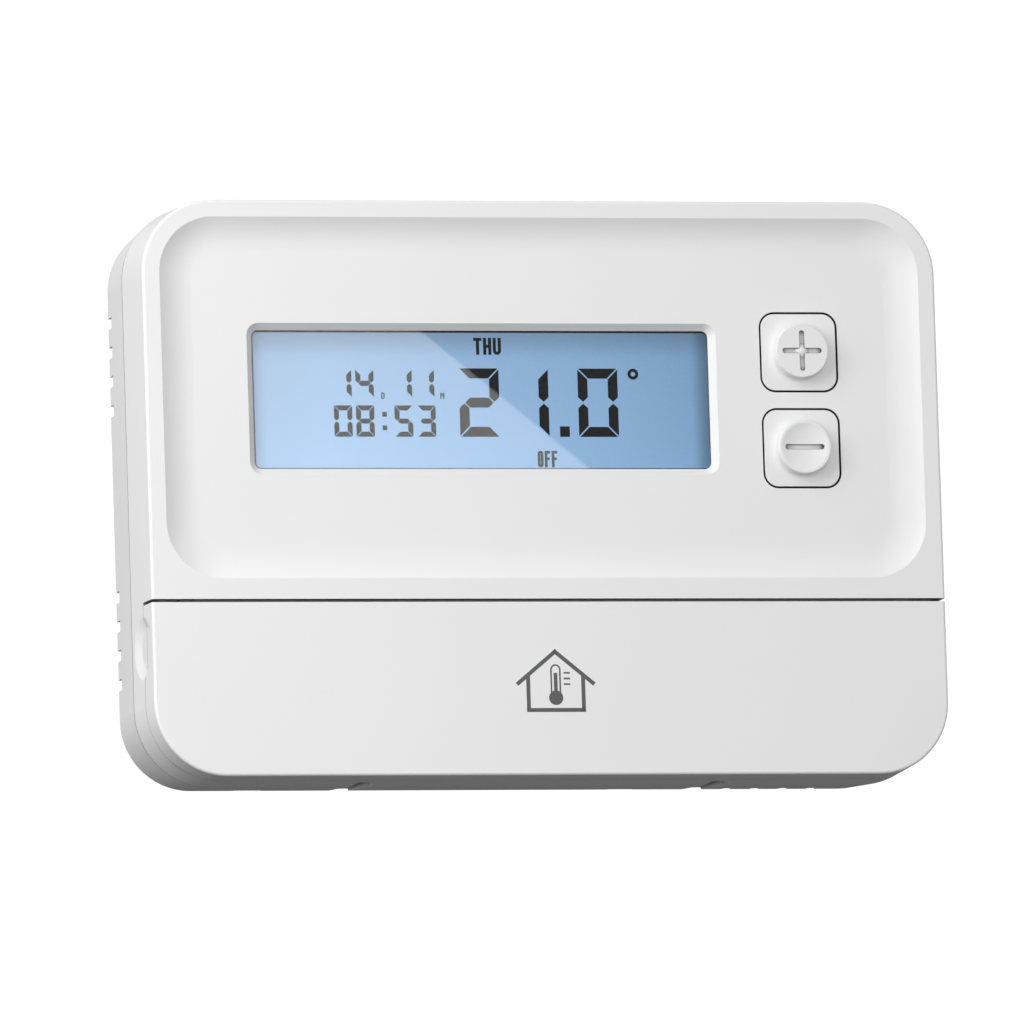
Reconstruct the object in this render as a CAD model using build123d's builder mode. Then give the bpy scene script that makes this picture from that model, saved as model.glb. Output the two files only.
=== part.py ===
"""Wall-mounted programmable room thermostat with a flip-down door.

Frame: the origin is the centre of the wall face, +X to the right seen from the room, +Z up, and the
front faces -Y. Every depth is given as a height off the wall, so a plane at height h lies at y = -h.
"""

from build123d import *
import os
from math import atan, degrees

os.makedirs("parts", exist_ok=True)

# ---------------------------------------------------------------- driving dimensions, mm
# Case
WIDTH = 130.0           # front face
HEIGHT = 91.8
DEPTH = 26.0
CORNER_R = 11.6
SEAM_H = 13.8           # joint between the rear case and the front case
FRONT_DRAFT = 0.42      # the front face is smaller than the seam by this, each side
REAR_DRAFT = 0.90       # the wall face is smaller than the seam by this, each side
WALL = 2.0
FRONT_EDGE_R = 0.45
SEAM_GROOVE_W, SEAM_GROOVE_D = 0.4, 0.7     # shadow line where the two cases meet

# Dish in the front face
DISH_HALF_W = 62.25
DISH_TOP = 43.2
DISH_BOTTOM = -14.5
DISH_DEPTH = 1.6
DISH_CORNER_R = 9.0
COVE_W = 5.4            # width of the concave edge, from the rim to the flat floor
FLOOR_H = DEPTH - DISH_DEPTH
SKIN_H = FLOOR_H - 1.8  # inner face of the front wall

# Display window
WINDOW_X, WINDOW_Z = -9.53, 14.35
WINDOW_W, WINDOW_H = 76.9, 24.2
WINDOW_R = 2.0
BEVEL_W, BEVEL_D = 1.05, 1.2
LENS_H = FLOOR_H - BEVEL_D
LENS_T = 1.0
LENS_CLEAR = 0.2        # rebate past the window's edge, each side
LENS_R = 0.5
WINDOW_REAR_R = 1.05    # corner at the foot of the bevel

# Plus and minus keys
KEY_X = 42.56
PLUS_Z, MINUS_Z = 21.9, 6.49
PAD = 12.3
PAD_R = 2.2
KEY_GAP = 0.3
CAP_R = 4.3
CAP_RISE = 2.2
FOOT_W, FOOT_RISE = 1.8, 0.85   # concave flare from the pad up to the cap
FOOT_PULL = 0.14                # how near the flare keeps to the cap's foot
FOOT_LAP = 0.02
CAP_EDGE = 0.12
CAP_RIM, CAP_DISH = 0.5, 0.5    # width of the minus key's rim, and the depth inside it
MARK_L, MARK_W = 6.5, 0.88
PLUS_MARK_D, MINUS_MARK_D = 0.5, 0.86
# the plus mark's floor rises to its middle: depths below the cap's face
CROWN_R, CROWN_EDGE, CROWN_MID, CROWN_TOP, CROWN_ROOT = 1.2, 0.5, 0.2, 0.05, 0.8
KEY_TRAVEL = 0.6
FLANGE_T = 1.0
FLANGE_LAP = 0.8

# Door and its hinge
DOOR_TOP = -18.27
DOOR_GAP = 0.51
DOOR_T = 1.5
DOOR_REAR_H = 20.75     # rear edge of the door's returns
SEAM_GAP = 0.15
REST_HALF_W, REST_LAP, REST_GAP = 60.0, 0.8, 0.12   # ledge that the door's top edge closes on
HINGE_H, HINGE_Z = 23.1, -43.0
PIN_R, PIN_CLEAR = 0.65, 0.05
EAR_R = 1.3
EAR_X0, EAR_X1, PIN_END = 47.6, 49.4, 52.2
CHEEK_X0, CHEEK_X1, CHEEK_HALF = 49.7, 52.4, 1.1
TROUGH_R, TROUGH_T = 3.95, 1.2
TROUGH_END_R = 2.5      # the trough narrows to this in the case corners
TROUGH_STRAIGHT, TROUGH_END, TROUGH_WALL_END = 54.5, 62.2, 60.5
TROUGH_LIP = 2.0        # how far the trough's wall goes below the hinge axis
THROAT_HALF_W = 57.5    # opening below the hinge, for the door's lower edge
THROAT_RISE, THROAT_DEPTH = 1.4, 2.55
EAR_INSET = 0.8
PIN_ROOT = 0.5
PANEL_H, PANEL_T = 22.8, 1.6
PANEL_INSET = 1.9       # panel outline, in from the front outline
PANEL_SKIRT = 1.6       # shoulder that joins the panel to the case wall
PANEL_LAP = 1.5         # how far the panel runs up behind the front face

# Finger scoops
SCOOP_Z, SCOOP_H = -25.0, 20.7
SCOOP_R, SCOOP_FLOOR_R, SCOOP_DEPTH = 4.95, 3.4, 0.5

# Vents and release channels at the wall face
VENT_PITCH = 4.67
SIDE_VENT_W, END_VENT_W, VENT_H = 1.77, 1.6, 2.9
SIDE_VENT_TOPS = (29.3, -14.6)
END_VENT_X0 = 34.7
VENT_CUT = 2.6          # how far a vent reaches in from the outline
CHANNEL_X, CHANNEL_W, CHANNEL_D, CHANNEL_H = 29.1, 3.2, 1.2, 18.5
CATCH_HALF_W, CATCH_H0, CATCH_H1 = 0.8, 16.4, 18.0
RELIEFS = ((-46.5, -41.8), (15.2, 19.3))    # shallow steps along the bottom edge
RELIEF_H = 0.9

# Hooks along the top of the front case, and the rear case's ledges that they go under
HOOK_X = (-35.0, 35.0)
HOOK_HALF_W, HOOK_T, HOOK_REACH = 4.0, 1.3, 3.0
LEDGE_HALF_W, LEDGE_T = 5.0, 1.5
LEDGE_GAP, LEDGE_DROP, LEDGE_ROOT_DROP = 1.5, 3.5, 6.0

# Keys behind the door
LOWER_KEYS = {"menu": 4.0, "select": 19.0, "advance": 34.0, "boost": 49.0}
LOWER_KEY_Z = -29.5
LOWER_W, LOWER_T, LOWER_R = 9.6, 6.4, 1.4
LOWER_TOP_H = 23.7
KEY_EDGE_R = 0.12
KEY_LAP = 0.1           # overlap of the plate and its flange

# Board and switches
BOARD_FRONT, BOARD_T = 15.2, 1.6
BOARD_REAR = BOARD_FRONT - BOARD_T
STEM_TOP, STEM_R, STEM_CHAMFER = 19.9, 1.75, 0.15
SWITCH_W, SWITCH_TOP = 6.0, 18.6
STEM_BORE_R, STEM_BORE_BASE, STEM_BASE = 1.85, 16.2, 17.2
POSTS = [(-57.0, 38.0), (57.0, 38.0), (57.0, -11.0), (-57.0, -11.0)]
POST_R, PILOT_R, SCREW_R, SCREW_HEAD_R = 3.0, 1.3, 1.25, 2.5
PILOT_STOP = 1.5        # wall left at the end of a pilot hole
SCREW_CLEAR, SCREW_HEAD_T, SCREW_L = 0.15, 1.6, 7.0
CROSS_L, CROSS_W, CROSS_D = 3.6, 0.7, 0.8
BOARD_HALF_W, BOARD_TOP, BOARD_STEP, BOARD_BOTTOM = 60.0, 42.0, -15.8, -37.5
BOARD_TONGUE_X = -3.0   # the board passes to the right of the batteries
BOARD_CORNER_R = 1.0

# Display module
CELL_X0, CELL_X1, CELL_Z0, CELL_Z1 = -50.5, 31.5, -0.5, 29.5
CELL_TOP, CELL_T = 21.9, 2.0
CELL_LEDGE = 0.5        # the front glass overhangs the rear glass here
HOLDER_SIDE, HOLDER_END, HOLDER_LIP, HOLDER_CLEAR = 2.0, 2.5, 0.3, 0.1
HOLDER_SEAT = 1.0
GUIDE_T, GUIDE_GAP, GUIDE_INSET, GUIDE_FOOT = 3.0, 0.2, 1.3, 4.5
LED_Z = (10.0, 17.0, 24.0)
LED_W, LED_L, LED_T, LED_INSET = 2.8, 1.6, 1.3, 1.6
ZEBRA_INSET, ZEBRA_Z0, ZEBRA_Z1 = 4.0, 0.8, 3.2

# Parts on the rear of the board: x0, x1, z0, z1 and how far each stands off the board
CONTROLLER = (-26.0, -16.0, -8.0, 2.0, 1.4)
DRIVER = (-50.0, -42.0, 20.0, 26.0, 1.2)
RELAY = (22.0, 42.0, 12.0, 22.0, 9.0)
RELAY_R = 0.6
LEG_L, LEG_W, LEG_T, LEG_PITCH, LEGS = 1.0, 0.4, 0.3, 1.26, 8
CRYSTAL_X0, CRYSTAL_X1, CRYSTAL_Z, CRYSTAL_R = -38.0, -31.0, -4.0, 1.0
CRYSTAL_LIFT = 0.05
CAPACITOR_X, CAPACITOR_Z, CAPACITOR_R, CAPACITOR_L = (-38.0, -30.0), 33.0, 2.5, 6.5
RESISTOR_X, RESISTOR_Z, RESISTOR_W, RESISTOR_H, RESISTOR_T = -50.0, 8.0, 2.0, 1.2, 0.5
RESISTOR_PITCH_X, RESISTOR_PITCH_Z = 4.0, 3.5

# Temperature sensor, hanging below the board on two leads
BEAD_X, BEAD_Z, BEAD_H, BEAD_HALF, BEAD_R = 42.0, -41.0, 8.0, 1.2, 0.8
LEAD_W, LEAD_PITCH, LEAD_BEND_Z, LEAD_FOOT = 0.4, 1.2, -34.0, -40.2

# Battery bay: two AAA cells, one above the other
CELL_R, CELL_BODY, NUB_R, NUB_L = 5.25, 43.7, 1.9, 0.8
BAY_X0, BAY_X1 = -57.6, -8.6
UPPER_CELL_Z, LOWER_CELL_Z, CELL_H = -23.1, -34.0, 17.04
CRADLE_R = CELL_R + 0.25
CELL_EDGE_R = 0.4
BAY_BOTTOM, BAY_TOP, BAY_R = -37.6, -18.46, 1.0     # opening in the panel
TRAY_WALL = 1.2
TRAY_REAR, TRAY_TOP = 10.4, PANEL_H - PANEL_T
PLATE_T = 0.4
PLATE_HALF = 3.5
PLATE_CLEAR = 0.1
TAB_HALF_W, TAB_T, TAB_L, TAB_CLEAR = 1.0, 0.4, 5.5, 0.05
WIRE_R, COIL_R, COIL_TURNS, COIL_CONE = 0.3, 3.0, 3, -12

# Wall side
SLOT_SPACING, SLOT_R, SLOT_L = 60.3, 2.25, 8.0
ENTRY_W, ENTRY_H, ENTRY_Z, ENTRY_R = 24.0, 15.0, -9.5, 2.0
TERMINALS = 4
TERMINAL_PITCH = 7.0
TERMINAL_Z0, TERMINAL_Z1, TERMINAL_TOP = 8.0, 19.0, 12.0
TERMINAL_END, TERMINAL_EDGE_R = 0.8, 0.5
RIB_HALF_W, RIB_RISE = 0.4, 0.8
WIRE_HALF_W, WIRE_H0, WIRE_H1 = 1.7, 3.2, 7.0       # wire way, heights off the wall
CLAMP_HALF_W, CLAMP_H0, CLAMP_H1, CLAMP_INSET = 2.5, 2.8, 9.2, 2.0
CLAMP_CLEAR, CLAMP_T = 0.2, 0.7
CLAMP_BORE_R, SCREW_WAY_R = 1.3, 2.1
TERMINAL_SCREW_R, TERMINAL_HEAD_R, TERMINAL_HEAD_T = 1.2, 1.95, 1.5
TERMINAL_SCREW_H0, TERMINAL_HEAD_H0 = 6.2, 9.3
SLOT_HALF_W, SLOT_D = 0.3, 0.6

# Plug and socket between the board and the wall side
SOCKET_X0, SOCKET_X1, SOCKET_Z0, SOCKET_Z1, SOCKET_TOP = 46.0, 56.0, 8.0, 13.0, 10.0
PINS, PIN_PITCH, PIN_HALF, BORE_HALF = 4, 2.5, 0.35, 0.5
PIN_REACH, BORE_DEPTH, HEADER_T = 5.0, 6.0, 2.5

# ---------------------------------------------------------------- worked out
SEAM_W = WIDTH + 2 * FRONT_DRAFT
SEAM_HEIGHT = HEIGHT + 2 * FRONT_DRAFT
SEAM_R = CORNER_R + FRONT_DRAFT
FRONT_TAPER = degrees(atan(FRONT_DRAFT / (DEPTH - SEAM_H)))
REAR_TAPER = degrees(atan(REAR_DRAFT / SEAM_H))
COVE_R = (COVE_W**2 + DISH_DEPTH**2) / (2 * DISH_DEPTH)
HALF_W, HALF_H = WIDTH / 2, HEIGHT / 2
CHANNEL_Z = -HALF_H - FRONT_DRAFT + CHANNEL_D       # the release channels' floor
SPAN = 200.0            # longer than any side, for cutting forms
CUT = 1.0               # how far a cutting form passes the surface that it cuts


def at(height):
    """Plane parallel to the wall, facing the room, at a height off the wall."""
    return Plane.XZ.offset(height)


def slab(x0, x1, z0, z1, h0, h1, mode=Mode.ADD):
    """Block between two heights off the wall, for use inside a part."""
    with Locations(((x0 + x1) / 2, -(h0 + h1) / 2, (z0 + z1) / 2)):
        Box(x1 - x0, h1 - h0, z1 - z0, mode=mode)


def disc(x, z, radius, h0, h1, mode=Mode.ADD):
    """Round block with its axis square to the wall, for use inside a part."""
    with Locations((x, -(h0 + h1) / 2, z)):
        Cylinder(radius, h1 - h0, rotation=(90, 0, 0), mode=mode)


def bar(x0, x1, height, z, radius, mode=Mode.ADD):
    """Round block with its axis along X, for use inside a part."""
    with Locations(((x0 + x1) / 2, -height, z)):
        Cylinder(radius, x1 - x0, rotation=(0, 90, 0), mode=mode)


def front_block():
    """The solid outer form in front of the seam, for use inside a part."""
    with BuildSketch(at(SEAM_H)) as outline:
        RectangleRounded(SEAM_W, SEAM_HEIGHT, SEAM_R)
    extrude(outline.sketch, amount=DEPTH - SEAM_H, taper=FRONT_TAPER)


def scoops():
    """Shallow finger dishes on both sides, centred on the door's side joint."""
    wall_x = HALF_W + FRONT_DRAFT * (DEPTH - SCOOP_H) / (DEPTH - SEAM_H)
    length = SCOOP_DEPTH + CUT
    mouth_r = SCOOP_FLOOR_R + (SCOOP_R - SCOOP_FLOOR_R) * length / SCOOP_DEPTH
    for side in (-1, 1):
        with Locations((side * (wall_x - SCOOP_DEPTH + length / 2), -SCOOP_H, SCOOP_Z)):
            Cone(SCOOP_FLOOR_R, mouth_r, length, rotation=(0, 90 * side, 0), mode=Mode.SUBTRACT)


def hinge_trough(radius):
    """Cut a channel round the hinge axis that narrows where the case corners rise."""
    with BuildSketch(Plane(origin=(0, -HINGE_H, HINGE_Z), x_dir=(1, 0, 0), z_dir=(0, -1, 0))) as half:
        with BuildLine():
            Polyline(
                (-TROUGH_END, 0), (-TROUGH_END, TROUGH_END_R), (-TROUGH_STRAIGHT, radius),
                (TROUGH_STRAIGHT, radius), (TROUGH_END, TROUGH_END_R), (TROUGH_END, 0), close=True,
            )
        make_face()
    revolve(half.sketch, axis=Axis((0, -HINGE_H, HINGE_Z), (1, 0, 0)), mode=Mode.SUBTRACT)


# ---------------------------------------------------------------- forms used to shape the front case
# Dish: a pocket whose floor edge is a concave cove
with BuildPart() as dish_cutter:
    cove_out = COVE_R - COVE_W
    with BuildSketch(at(FLOOR_H)):
        with Locations((0, (DISH_TOP + DISH_BOTTOM) / 2)):
            RectangleRounded(
                2 * (DISH_HALF_W + cove_out),
                DISH_TOP - DISH_BOTTOM + 2 * cove_out,
                DISH_CORNER_R + cove_out,
            )
    extrude(amount=COVE_R + CUT)
    fillet(dish_cutter.faces().sort_by(Axis.Y)[-1].edges(), COVE_R)

# Panel behind the door, with side walls back to the case
with BuildPart() as panel:
    panel_w, panel_h = WIDTH - 2 * PANEL_INSET, HEIGHT - 2 * PANEL_INSET
    panel_r = CORNER_R - PANEL_INSET
    panel_base = DOOR_REAR_H - PANEL_SKIRT
    with BuildSketch(at(panel_base)):
        RectangleRounded(SEAM_W, SEAM_HEIGHT, SEAM_R)
    extrude(amount=DOOR_REAR_H - SEAM_GAP - panel_base)
    with BuildSketch(at(panel_base)):
        RectangleRounded(panel_w, panel_h, panel_r)
    extrude(amount=PANEL_H - panel_base)
    with BuildSketch(at(panel_base)):
        RectangleRounded(panel_w - 2 * PANEL_T, panel_h - 2 * PANEL_T, panel_r - PANEL_T)
    extrude(amount=PANEL_H - PANEL_T - panel_base, mode=Mode.SUBTRACT)
    slab(-SPAN / 2, SPAN / 2, DOOR_TOP + PANEL_LAP, SPAN / 2, 0, DEPTH, mode=Mode.SUBTRACT)
    bar(-HALF_W, HALF_W, HINGE_H, HINGE_Z, TROUGH_R, mode=Mode.SUBTRACT)
    slab(-HALF_W, HALF_W, -SPAN / 2, HINGE_Z, 0, DEPTH, mode=Mode.SUBTRACT)

# Curved wall behind the door's hinge
with BuildPart() as trough:
    bar(-TROUGH_WALL_END, TROUGH_WALL_END, HINGE_H, HINGE_Z, TROUGH_R + TROUGH_T)
    bar(-SPAN / 2, SPAN / 2, HINGE_H, HINGE_Z, TROUGH_R, mode=Mode.SUBTRACT)
    slab(-SPAN / 2, SPAN / 2, -SPAN / 2, SPAN / 2, PANEL_H, SPAN / 2, mode=Mode.SUBTRACT)
    slab(-SPAN / 2, SPAN / 2, -SPAN / 2, HINGE_Z - TROUGH_LIP, 0, SPAN / 2, mode=Mode.SUBTRACT)

# ---------------------------------------------------------------- case
with BuildPart() as front_case:
    front_block()
    fillet(front_case.faces().sort_by(Axis.Y)[0].edges(), FRONT_EDGE_R)
    add(dish_cutter.part, mode=Mode.SUBTRACT)
    # hollow behind the front wall
    with BuildSketch(at(SEAM_H)):
        RectangleRounded(SEAM_W - 2 * WALL, SEAM_HEIGHT - 2 * WALL, SEAM_R - WALL)
    extrude(amount=SKIN_H - SEAM_H, taper=FRONT_TAPER, mode=Mode.SUBTRACT)
    # the door's place: the front is cut away down to the door's rear edge
    slab(-SPAN / 2, SPAN / 2, -SPAN / 2, DOOR_TOP + DOOR_GAP, DOOR_REAR_H - SEAM_GAP, DEPTH + CUT,
         mode=Mode.SUBTRACT)
    hinge_trough(TROUGH_R)
    slab(-THROAT_HALF_W, THROAT_HALF_W, -SPAN / 2, HINGE_Z - THROAT_RISE, HINGE_H - THROAT_DEPTH, DEPTH,
         mode=Mode.SUBTRACT)
    add(panel.part)
    add(trough.part)
    slab(-REST_HALF_W, REST_HALF_W, DOOR_TOP - REST_LAP, DOOR_TOP + DOOR_GAP + REST_LAP,
         PANEL_H - REST_LAP, DEPTH - DOOR_T - REST_GAP)
    # trim what would stand outside the case corners, behind the door
    with BuildSketch(at(SEAM_H)):
        RectangleRounded(SEAM_W, SEAM_HEIGHT, SEAM_R)
    extrude(amount=DEPTH - SEAM_H, taper=FRONT_TAPER, mode=Mode.INTERSECT)
    # hinge cheeks come down from the trough
    for side in (-1, 1):
        x0, x1 = sorted((side * CHEEK_X0, side * CHEEK_X1))
        slab(x0, x1, HINGE_Z, HINGE_Z + TROUGH_R + TROUGH_T / 4, HINGE_H - CHEEK_HALF, HINGE_H + CHEEK_HALF)
        bar(x0, x1, HINGE_H, HINGE_Z, CHEEK_HALF)
        bar(x0, x1, HINGE_H, HINGE_Z, PIN_R + PIN_CLEAR, mode=Mode.SUBTRACT)
    # window with its bevel, and a rebate for the lens
    with BuildSketch(at(LENS_H)):
        with Locations((WINDOW_X, WINDOW_Z)):
            RectangleRounded(WINDOW_W - 2 * BEVEL_W, WINDOW_H - 2 * BEVEL_W, WINDOW_REAR_R)
    with BuildSketch(at(FLOOR_H)):
        with Locations((WINDOW_X, WINDOW_Z)):
            RectangleRounded(WINDOW_W, WINDOW_H, WINDOW_R)
    loft(ruled=True, mode=Mode.SUBTRACT)
    lens_half_w, lens_half_h = WINDOW_W / 2 + LENS_CLEAR, WINDOW_H / 2 + LENS_CLEAR
    slab(WINDOW_X - lens_half_w, WINDOW_X + lens_half_w, WINDOW_Z - lens_half_h, WINDOW_Z + lens_half_h,
         SKIN_H, LENS_H, mode=Mode.SUBTRACT)
    # key openings
    with BuildSketch(at(SKIN_H)):
        with Locations((KEY_X, PLUS_Z), (KEY_X, MINUS_Z)):
            RectangleRounded(PAD + 2 * KEY_GAP, PAD + 2 * KEY_GAP, PAD_R + KEY_GAP)
    extrude(amount=FLOOR_H - SKIN_H + CUT, mode=Mode.SUBTRACT)
    with BuildSketch(at(TRAY_TOP)):
        with Locations([(x, LOWER_KEY_Z) for x in LOWER_KEYS.values()]):
            RectangleRounded(LOWER_W + 2 * KEY_GAP, LOWER_T + 2 * KEY_GAP, LOWER_R + KEY_GAP)
    extrude(amount=PANEL_T + CUT, mode=Mode.SUBTRACT)
    # battery opening in the panel
    with BuildSketch(at(TRAY_TOP)):
        with Locations(((BAY_X0 + BAY_X1) / 2, (BAY_BOTTOM + BAY_TOP) / 2)):
            RectangleRounded(BAY_X1 - BAY_X0, BAY_TOP - BAY_BOTTOM, BAY_R)
    extrude(amount=PANEL_T + CUT, mode=Mode.SUBTRACT)
    # board posts
    for x, z in POSTS:
        disc(x, z, POST_R, BOARD_FRONT, SKIN_H)
        disc(x, z, PILOT_R, BOARD_FRONT, SKIN_H - PILOT_STOP, mode=Mode.SUBTRACT)
    # hooks that go into the rear case, along the top
    for x in HOOK_X:
        slab(x - HOOK_HALF_W, x + HOOK_HALF_W, HALF_H - WALL - HOOK_T, HALF_H - WALL,
             SEAM_H - HOOK_REACH, SKIN_H)
    # release channels in the bottom wall, with the catch openings
    for x in (-CHANNEL_X, CHANNEL_X):
        slab(x - CHANNEL_W / 2, x + CHANNEL_W / 2, -HALF_H - CUT, CHANNEL_Z, SEAM_H - CUT, CHANNEL_H,
             mode=Mode.SUBTRACT)
        slab(x - CATCH_HALF_W, x + CATCH_HALF_W, -HALF_H - CUT, -HALF_H + WALL + CUT, CATCH_H0, CATCH_H1,
             mode=Mode.SUBTRACT)
    scoops()
front_case.part.label = "front_case"
export_step(front_case.part, "parts/front_case.step")

with BuildPart() as rear_case:
    with BuildSketch(at(SEAM_H)):
        RectangleRounded(SEAM_W, SEAM_HEIGHT, SEAM_R)
    extrude(amount=-SEAM_H, taper=REAR_TAPER)
    # shadow groove all round, just behind the seam
    with BuildSketch(at(SEAM_H)):
        RectangleRounded(SEAM_W + CUT, SEAM_HEIGHT + CUT, SEAM_R + CUT / 2)
        inner = 2 * SEAM_GROOVE_D
        RectangleRounded(SEAM_W - inner, SEAM_HEIGHT - inner, SEAM_R - SEAM_GROOVE_D, mode=Mode.SUBTRACT)
    extrude(amount=-SEAM_GROOVE_W, mode=Mode.SUBTRACT)
    with BuildSketch(at(SEAM_H)):
        RectangleRounded(SEAM_W - 2 * WALL, SEAM_HEIGHT - 2 * WALL, SEAM_R - WALL)
    extrude(amount=WALL - SEAM_H, taper=REAR_TAPER, mode=Mode.SUBTRACT)
    # cable entry and wall-screw slots
    with BuildSketch(at(0)):
        with Locations((0, ENTRY_Z)):
            RectangleRounded(ENTRY_W, ENTRY_H, ENTRY_R)
        with Locations((-SLOT_SPACING / 2, 0), (SLOT_SPACING / 2, 0)):
            SlotOverall(SLOT_L, 2 * SLOT_R)
    extrude(amount=WALL, mode=Mode.SUBTRACT)
    # vents, open at the wall face
    for first in SIDE_VENT_TOPS:
        for i in range(4):
            z = first - i * VENT_PITCH
            for x in (-HALF_W, HALF_W):
                slab(x - VENT_CUT, x + VENT_CUT, z - SIDE_VENT_W / 2, z + SIDE_VENT_W / 2,
                     -CUT, VENT_H, mode=Mode.SUBTRACT)
    for i in range(4):
        x = END_VENT_X0 + i * VENT_PITCH
        slab(x - END_VENT_W / 2, x + END_VENT_W / 2, -HALF_H - CUT, -HALF_H + VENT_CUT,
             -CUT, VENT_H, mode=Mode.SUBTRACT)
    # release channels in the bottom wall
    for x in (-CHANNEL_X, CHANNEL_X):
        slab(x - CHANNEL_W / 2, x + CHANNEL_W / 2, -HALF_H - CUT, CHANNEL_Z, -CUT, SEAM_H + CUT,
             mode=Mode.SUBTRACT)
    # shallow reliefs along the bottom edge
    for x0, x1 in RELIEFS:
        slab(x0, x1, -HALF_H - CUT, -HALF_H + REAR_DRAFT, -CUT, RELIEF_H, mode=Mode.SUBTRACT)
    # ledges that the front case's hooks go under
    for x in HOOK_X:
        x0, x1 = x - LEDGE_HALF_W, x + LEDGE_HALF_W
        ledge_z = HALF_H - WALL - LEDGE_GAP
        slab(x0, x1, ledge_z - LEDGE_T, ledge_z, WALL, SEAM_H - LEDGE_DROP)
        slab(x0, x1, ledge_z - KEY_LAP, HALF_H - WALL / 2, WALL, SEAM_H - LEDGE_ROOT_DROP)
rear_case.part.label = "rear_case"
export_step(rear_case.part, "parts/rear_case.step")

with BuildPart() as door:
    front_block()
    fillet(door.faces().sort_by(Axis.Y)[0].edges(), FRONT_EDGE_R)
    with BuildSketch(at(SEAM_H)):
        RectangleRounded(SEAM_W - 2 * DOOR_T, SEAM_HEIGHT - 2 * DOOR_T, SEAM_R - DOOR_T)
    extrude(amount=DEPTH - DOOR_T - SEAM_H, taper=FRONT_TAPER, mode=Mode.SUBTRACT)
    slab(-SPAN / 2, SPAN / 2, DOOR_TOP, SPAN / 2, 0, DEPTH + CUT, mode=Mode.SUBTRACT)
    slab(-SPAN / 2, SPAN / 2, -SPAN / 2, SPAN / 2, 0, DOOR_REAR_H, mode=Mode.SUBTRACT)
    for side in (-1, 1):
        x0, x1 = sorted((side * EAR_X0, side * EAR_X1))
        bar(x0, x1, HINGE_H, HINGE_Z, EAR_R)
        slab(x0, x1, -HALF_H + EAR_INSET, HINGE_Z, HINGE_H - EAR_R, DEPTH - EAR_INSET)
        slab(x0, x1, -HALF_H + EAR_INSET, HINGE_Z + EAR_R, HINGE_H, DEPTH - EAR_INSET)
        pin0, pin1 = sorted((side * (EAR_X1 - PIN_ROOT), side * PIN_END))
        bar(pin0, pin1, HINGE_H, HINGE_Z, PIN_R)
    scoops()
door.part.label = "door"
export_step(door.part, "parts/door.step")

with BuildPart() as window_lens:
    with BuildSketch(at(LENS_H)):
        with Locations((WINDOW_X, WINDOW_Z)):
            RectangleRounded(WINDOW_W + LENS_CLEAR, WINDOW_H + LENS_CLEAR, LENS_R)
    extrude(amount=-LENS_T)
window_lens.part.label = "window_lens"
export_step(window_lens.part, "parts/window_lens.step")

# ---------------------------------------------------------------- keys
def pressed_key(x, z, width, height, corner, top, opening_base):
    """Key plate with its flange and plunger. opening_base is the rear face of the wall it works in."""
    with BuildPart() as key:
        with BuildSketch(at(opening_base - KEY_LAP)) as plate:
            with Locations((x, z)):
                RectangleRounded(width, height, corner)
        extrude(plate.sketch, amount=top - opening_base + KEY_LAP)
        fillet(key.faces().sort_by(Axis.Y)[0].edges(), KEY_EDGE_R)
        with BuildSketch(at(opening_base - KEY_LAP)) as flange:
            with Locations((x, z)):
                RectangleRounded(width + 2 * FLANGE_LAP, height + 2 * FLANGE_LAP, corner)
        extrude(flange.sketch, amount=-FLANGE_T)
        disc(x, z, STEM_R, STEM_TOP, opening_base - FLANGE_T)
    return key.part


def slot_mark(x, z, angle, base, top):
    """Groove with round ends, for use inside a part."""
    with BuildSketch(at(base)) as groove:
        with Locations((x, z)):
            SlotOverall(MARK_L, MARK_W, rotation=angle)
    extrude(groove.sketch, amount=top - base, mode=Mode.SUBTRACT)


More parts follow.
